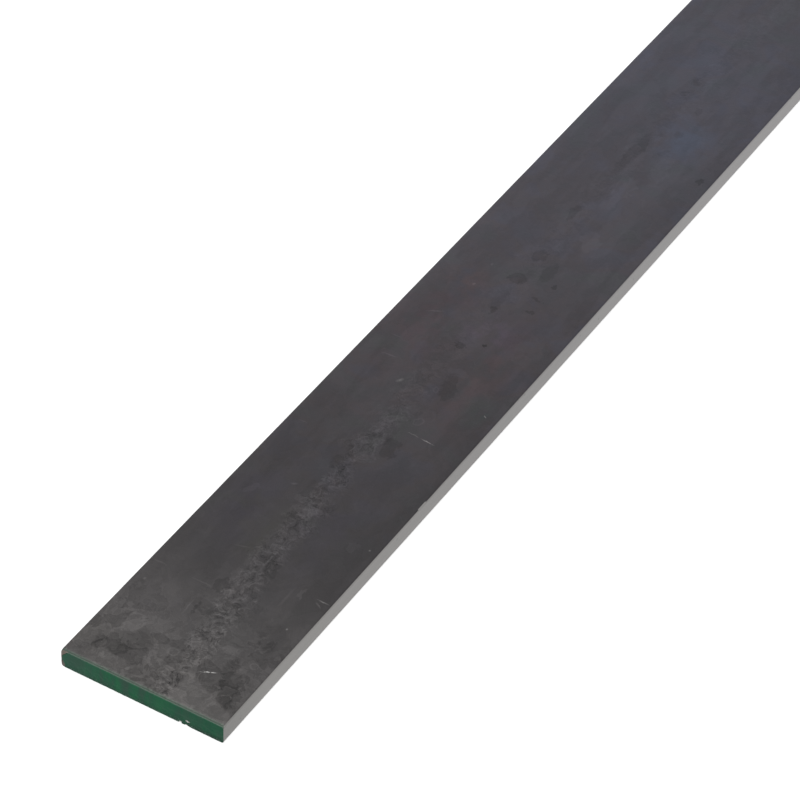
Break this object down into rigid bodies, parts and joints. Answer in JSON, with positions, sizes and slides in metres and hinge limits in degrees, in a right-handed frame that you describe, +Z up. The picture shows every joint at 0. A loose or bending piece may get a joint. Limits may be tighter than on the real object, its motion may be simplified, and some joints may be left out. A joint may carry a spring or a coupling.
{
  "type": "steel flat bar",
  "caption": "Hot-rolled steel flat bar, long and thin, with flat narrow edges, sheared ends and one end painted green.",
  "frame": {"origin": "centre of the underside, the wide face that the bar lies on", "axes": "+X along the bar towards the painted end, +Z up through the thickness, Y across the width"},
  "size_m": [0.9144, 0.0382, 0.0048],
  "materials": {
    "mill_scale_steel": "hot-rolled mild steel with dark mill scale, satin, lighter on the narrow edges",
    "end_paint": "thin dark green marking paint on the sheared face of the end at +X"
  },
  "bodies": {
    "root": {"flat_bar": "mill_scale_steel"}
  },
  "joints": []
}
